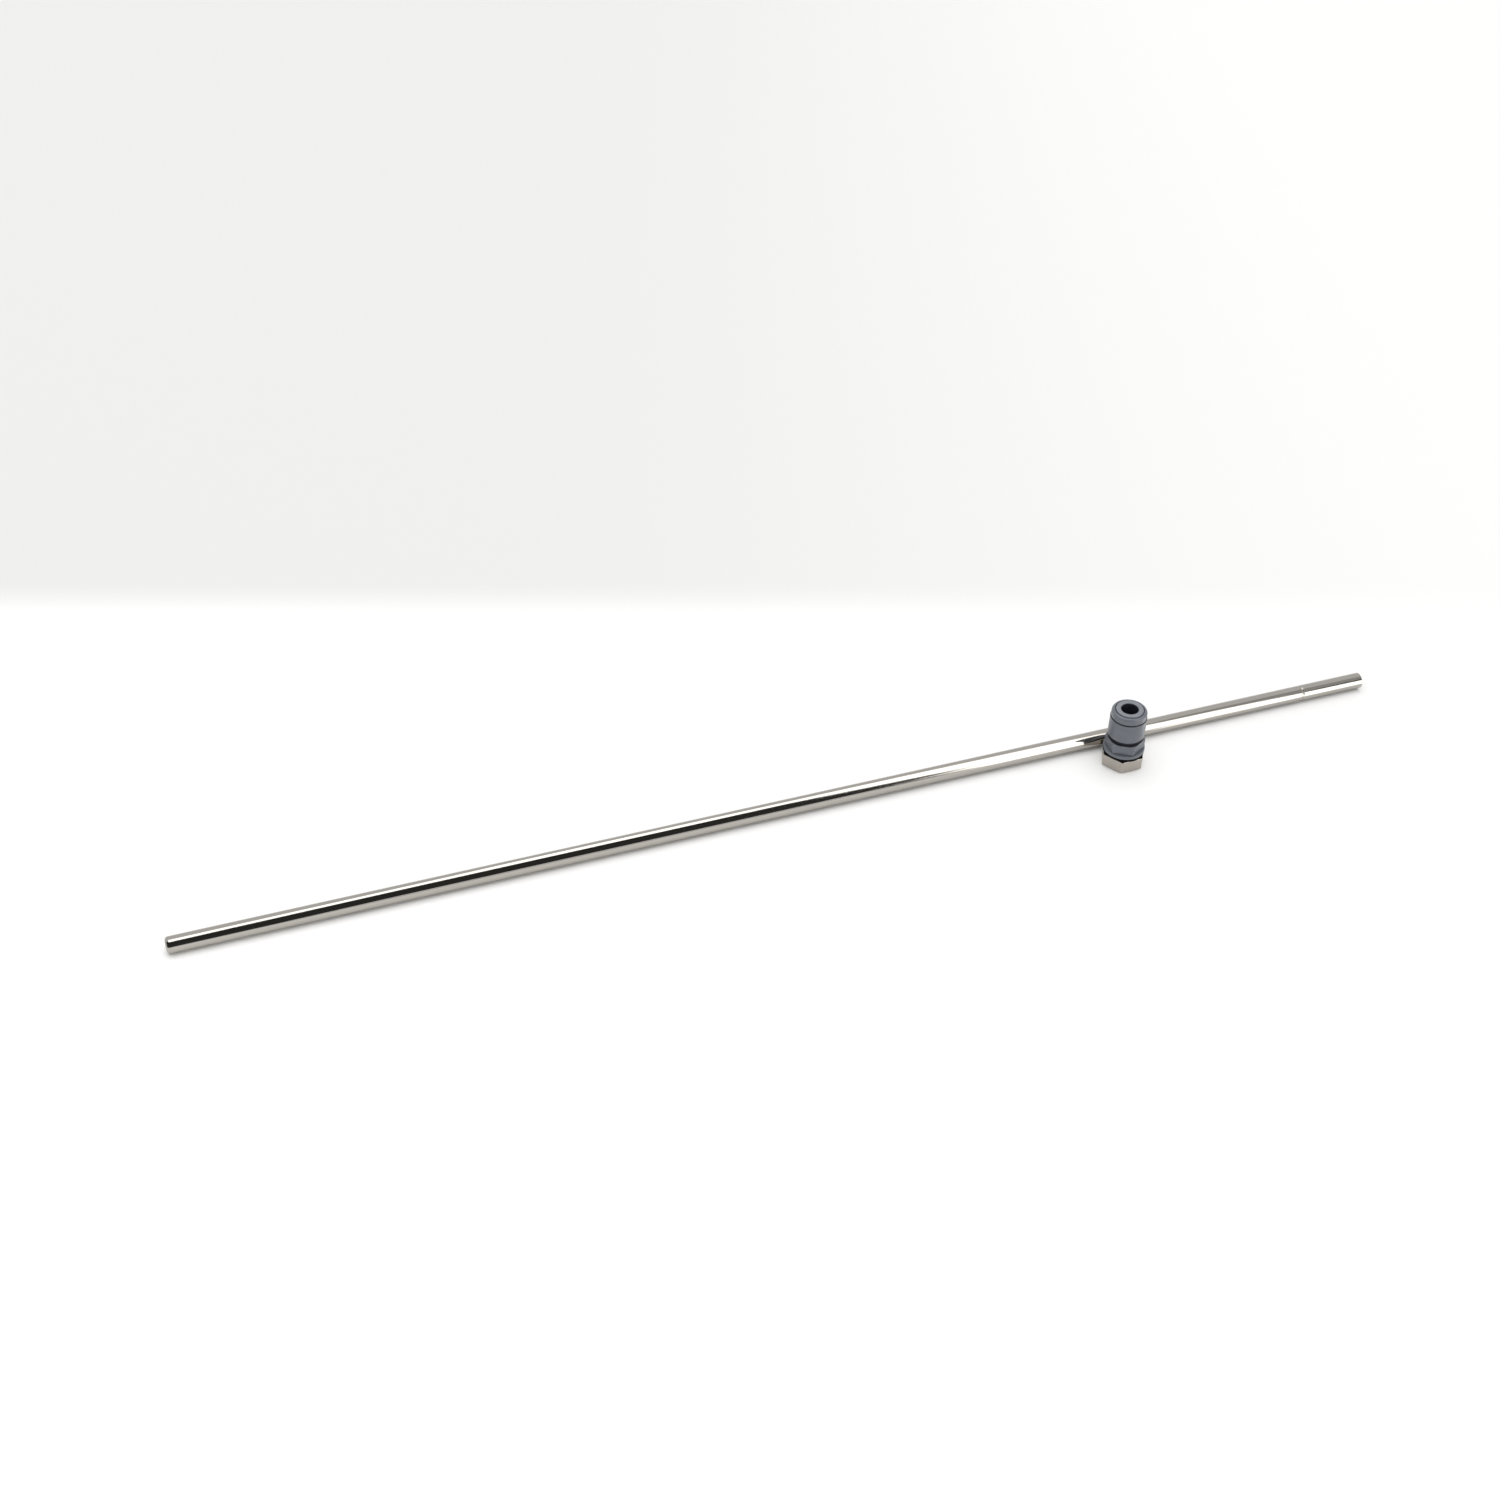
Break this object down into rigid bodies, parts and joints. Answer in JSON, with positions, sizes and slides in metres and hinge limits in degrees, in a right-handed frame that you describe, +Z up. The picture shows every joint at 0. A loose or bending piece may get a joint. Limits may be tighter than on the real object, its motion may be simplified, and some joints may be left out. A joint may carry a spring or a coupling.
{
  "type": "thermowell with push-fit bulkhead fitting",
  "caption": "Long polished stainless thermowell tube with a closed tip and a ring groove, and a grey push-fit bulkhead fitting standing on its steel lock nut beside it.",
  "frame": {"origin": "bottom centre of the tube and the fitting together, on the surface they lie and stand on", "axes": "+X along the thermowell tube from its closed tip to its open end, +Z up along the fitting's own axis, +Y from the fitting towards the tube"},
  "size_m": [0.6, 0.0286, 0.0324],
  "materials": {
    "polished_stainless": "polished stainless steel",
    "satin_steel": "satin machined stainless steel",
    "black_rubber": "matt EPDM rubber",
    "ring_rubber": "smooth EPDM rubber",
    "grey_plastic": "moulded slate grey acetal, satin",
    "collet_plastic": "moulded slate grey acetal, satin",
    "spring_steel": "stamped spring steel"
  },
  "bodies": {
    "thermowell": {"thermowell_tube": "polished_stainless", "tip_plug": "polished_stainless"},
    "nut": {"lock_nut": "satin_steel"},
    "seal": {"seal_washer": "black_rubber"},
    "fitting": {"fitting_body": "grey_plastic", "o_ring_lower": "ring_rubber", "o_ring_spacer": "collet_plastic", "o_ring_upper": "ring_rubber", "backing_washer": "collet_plastic", "retaining_cap": "grey_plastic"},
    "collet": {"collet": "collet_plastic", "collet_tooth_1": "spring_steel", "collet_tooth_2": "spring_steel", "collet_tooth_3": "spring_steel", "collet_tooth_4": "spring_steel", "collet_tooth_5": "spring_steel", "collet_tooth_6": "spring_steel", "collet_tooth_7": "spring_steel", "collet_tooth_8": "spring_steel"}
  },
  "joints": [
    {"name": "fitting_lift", "type": "slide", "parent": "thermowell", "child": "nut", "axis": [0, 0, 1], "range_m": [0, 0.06]},
    {"name": "seal_rise", "type": "slide", "parent": "nut", "child": "seal", "axis": [0, 0, 1], "range_m": [0, 0.0054]},
    {"name": "body_turn", "type": "hinge", "parent": "seal", "child": "fitting", "pos_m": [0.15815, -0.00424, 0.0083], "axis": [0, 0, 1], "range_deg": [0, 1440]},
    {"name": "collet_slide", "type": "slide", "parent": "fitting", "child": "collet", "axis": [0, 0, 1], "range_m": [0, 0.0015]}
  ],
  "couplings": [
    {"joint": "seal_rise", "follows": "body_turn", "m_per_rad": 0.00021279}
  ]
}
